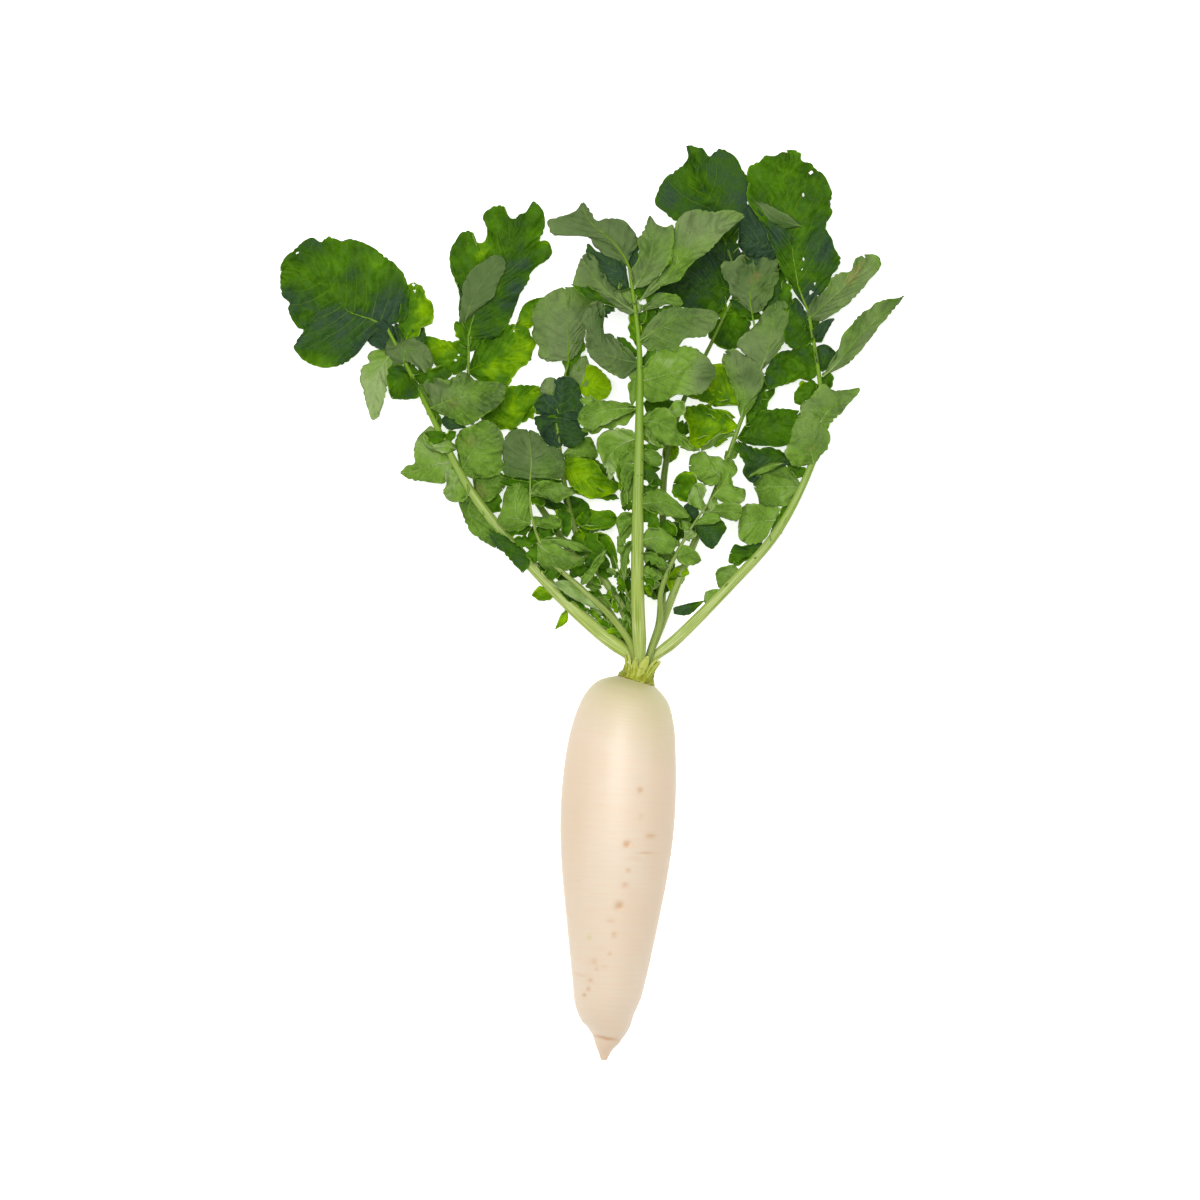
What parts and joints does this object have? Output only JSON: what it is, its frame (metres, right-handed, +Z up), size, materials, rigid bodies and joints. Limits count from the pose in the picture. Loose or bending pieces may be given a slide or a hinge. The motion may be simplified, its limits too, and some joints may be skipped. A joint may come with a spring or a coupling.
{
  "type": "daikon radish",
  "caption": "Whole daikon radish lying down: long white root, green crown and a fan of toothed, lobed leaves on long stalks.",
  "frame": {"origin": "centre of the flat resting spot under the root's belly, on the surface that it lies on", "axes": "+Y along the root from the tail to the leaves, +X to the right as seen from above, +Z up"},
  "size_m": [0.4304, 0.6278, 0.0819],
  "materials": {
    "root_skin": "smooth moist cream-white vegetable skin with a soft gloss, fine rings and small brownish pits",
    "crown_green": "fibrous yellow-green leaf bases, matt, drying brown where they meet the root",
    "leaf_underside": "pale grey-green matt leaf underside with raised veins, on a pale green stalk",
    "leaf_upper": "dark green leaf upper side with a satin sheen and sunken veins, on a pale green stalk"
  },
  "bodies": {
    "root": {"root": "root_skin", "crown": "crown_green", "frond_top_centre": "leaf_underside", "frond_left": "leaf_upper", "frond_right": "leaf_upper", "frond_right_inner": "leaf_underside", "frond_young_right": "leaf_underside", "frond_young_left": "leaf_underside", "frond_back_left": "leaf_underside", "frond_back_right": "leaf_upper", "frond_back_far_left": "leaf_upper", "frond_young_centre": "leaf_upper"}
  },
  "joints": []
}
